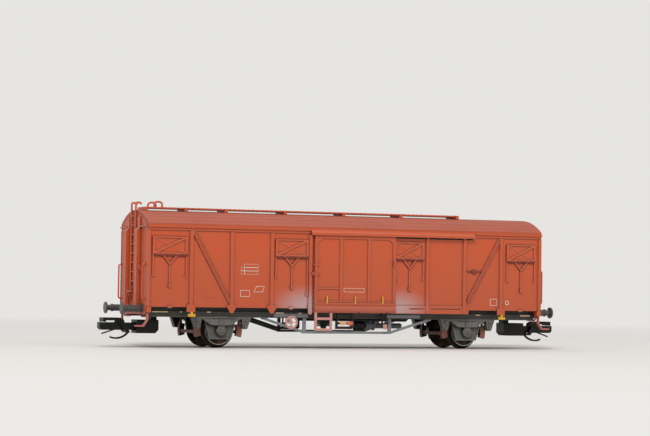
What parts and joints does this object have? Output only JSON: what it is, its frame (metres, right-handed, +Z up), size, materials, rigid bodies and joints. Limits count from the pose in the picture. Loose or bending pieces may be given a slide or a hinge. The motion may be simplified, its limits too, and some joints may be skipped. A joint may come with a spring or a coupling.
{
  "type": "model railway covered goods wagon",
  "caption": "Two-axle model covered goods wagon with an arched roof, sliding side doors, buffers and hook-and-bow couplers that swing, on free-turning wheelsets.",
  "frame": {"origin": "on the floor under the wheel flanges, in the middle of the wagon's length and width", "axes": "+X along the wagon towards the end without a ladder, -Y towards the near side with its door rail to the right of the door, +Z up"},
  "size_m": [0.1238, 0.025, 0.036],
  "materials": {
    "body_paint": "satin orange-brown paint on moulded plastic",
    "roof_paint": "matt red-brown paint on moulded plastic",
    "chassis_black": "black moulded plastic",
    "chassis_grey": "dark grey paint on moulded plastic",
    "truss_grey": "mid grey paint on moulded plastic",
    "buffer_grey": "blue-grey moulded plastic",
    "coupler_black": "black moulded plastic",
    "step_pink": "unpainted pale red moulded plastic",
    "brake_red": "brown-red moulded plastic",
    "hook_yellow": "yellow paint on moulded plastic",
    "wheel_steel": "blackened turned metal",
    "axle_steel": "bright turned metal",
    "ballast_steel": "bare sheet steel"
  },
  "bodies": {
    "wagon": {"air_tank": "chassis_black", "axle_guard_left_far": "chassis_grey", "axle_guard_left_near": "chassis_grey", "axle_guard_right_far": "chassis_grey", "axle_guard_right_near": "chassis_grey", "ballast_plate": "ballast_steel", "brake_cylinder": "chassis_grey", "brake_levers_far": "chassis_black", "brake_levers_near": "chassis_black", "brake_rigging_left": "brake_red", "brake_rigging_right": "brake_red", "brake_valve": "chassis_black", "buffers_left": "buffer_grey", "buffers_right": "buffer_grey", "corner_handrails": "body_paint", "corner_steps": "step_pink", "coupler_pocket_left": "coupler_black", "coupler_pocket_right": "coupler_black", "door_far": "body_paint", "door_near": "body_paint", "door_rails_far": "body_paint", "door_rails_near": "body_paint", "door_step_far": "step_pink", "door_step_near": "step_pink", "end_ladder": "body_paint", "end_wall_left": "body_paint", "end_wall_right": "body_paint", "floor_plate": "chassis_black", "hand_brake_wheel_far": "step_pink", "hand_brake_wheel_near": "step_pink", "headstock_left": "body_paint", "headstock_right": "body_paint", "lashing_hooks": "hook_yellow", "roof": "roof_paint", "roof_grab_hoops": "roof_paint", "roof_walkway": "roof_paint", "shunter_handles": "step_pink", "side_wall_far": "body_paint", "side_wall_near": "body_paint", "solebar_far": "chassis_grey", "solebar_near": "chassis_grey", "truss_rod_far": "truss_grey", "truss_rod_near": "truss_grey", "ventilators_far": "body_paint", "ventilators_near": "body_paint"},
    "wheelset_left": {"wheels_left": "wheel_steel", "axle_left": "axle_steel"},
    "coupler_left": {"coupler_head_left": "coupler_black"},
    "bow_left": {"coupler_bow_left": "coupler_black"},
    "wheelset_right": {"wheels_right": "wheel_steel", "axle_right": "axle_steel"},
    "coupler_right": {"coupler_head_right": "coupler_black"},
    "bow_right": {"coupler_bow_right": "coupler_black"}
  },
  "joints": [
    {"name": "wheelset_left_spin", "type": "hinge", "parent": "wagon", "child": "wheelset_left", "pos_m": [-0.03333, 0, 0.00435], "axis": [0, 1, 0], "continuous": true},
    {"name": "coupler_left_swing", "type": "hinge", "parent": "wagon", "child": "coupler_left", "pos_m": [-0.049, 0, 0.005], "axis": [0, 0, 1], "range_deg": [-12, 12]},
    {"name": "bow_left_lift", "type": "hinge", "parent": "coupler_left", "child": "bow_left", "pos_m": [-0.0566, 0, 0.0062], "axis": [0, 1, 0], "range_deg": [0, 20]},
    {"name": "wheelset_right_spin", "type": "hinge", "parent": "wagon", "child": "wheelset_right", "pos_m": [0.03333, 0, 0.00435], "axis": [0, 1, 0], "continuous": true},
    {"name": "coupler_right_swing", "type": "hinge", "parent": "wagon", "child": "coupler_right", "pos_m": [0.049, 0, 0.005], "axis": [0, 0, 1], "range_deg": [-12, 12]},
    {"name": "bow_right_lift", "type": "hinge", "parent": "coupler_right", "child": "bow_right", "pos_m": [0.0566, 0, 0.0062], "axis": [0, -1, 0], "range_deg": [0, 20]}
  ]
}
